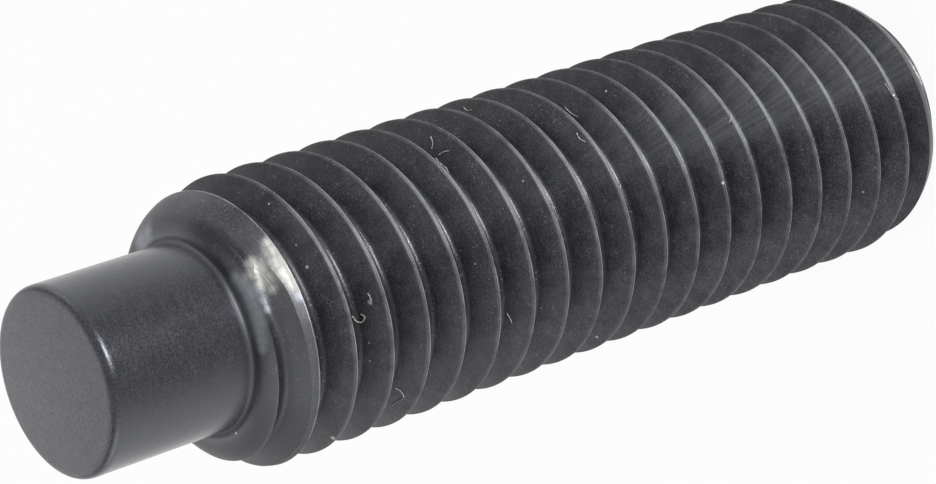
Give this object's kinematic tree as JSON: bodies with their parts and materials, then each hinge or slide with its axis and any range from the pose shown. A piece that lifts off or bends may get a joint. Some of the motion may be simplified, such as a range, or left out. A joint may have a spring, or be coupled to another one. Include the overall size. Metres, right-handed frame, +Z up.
{
  "type": "set screw with dog point",
  "caption": "Headless steel set screw with a coarse right-hand thread, a cylindrical dog point and a hexagon socket in its other end.",
  "frame": {"origin": "centre of the flat rim round the socket, which the screw stands on", "axes": "+Z up the screw's axis, from the socket end to the dog point; -Y faces the main view"},
  "size_m": [0.008, 0.008, 0.0299],
  "materials": {
    "steel": "black oxide, satin, with bright wear on the crests"
  },
  "bodies": {
    "root": {"set_screw": "steel"}
  },
  "joints": []
}
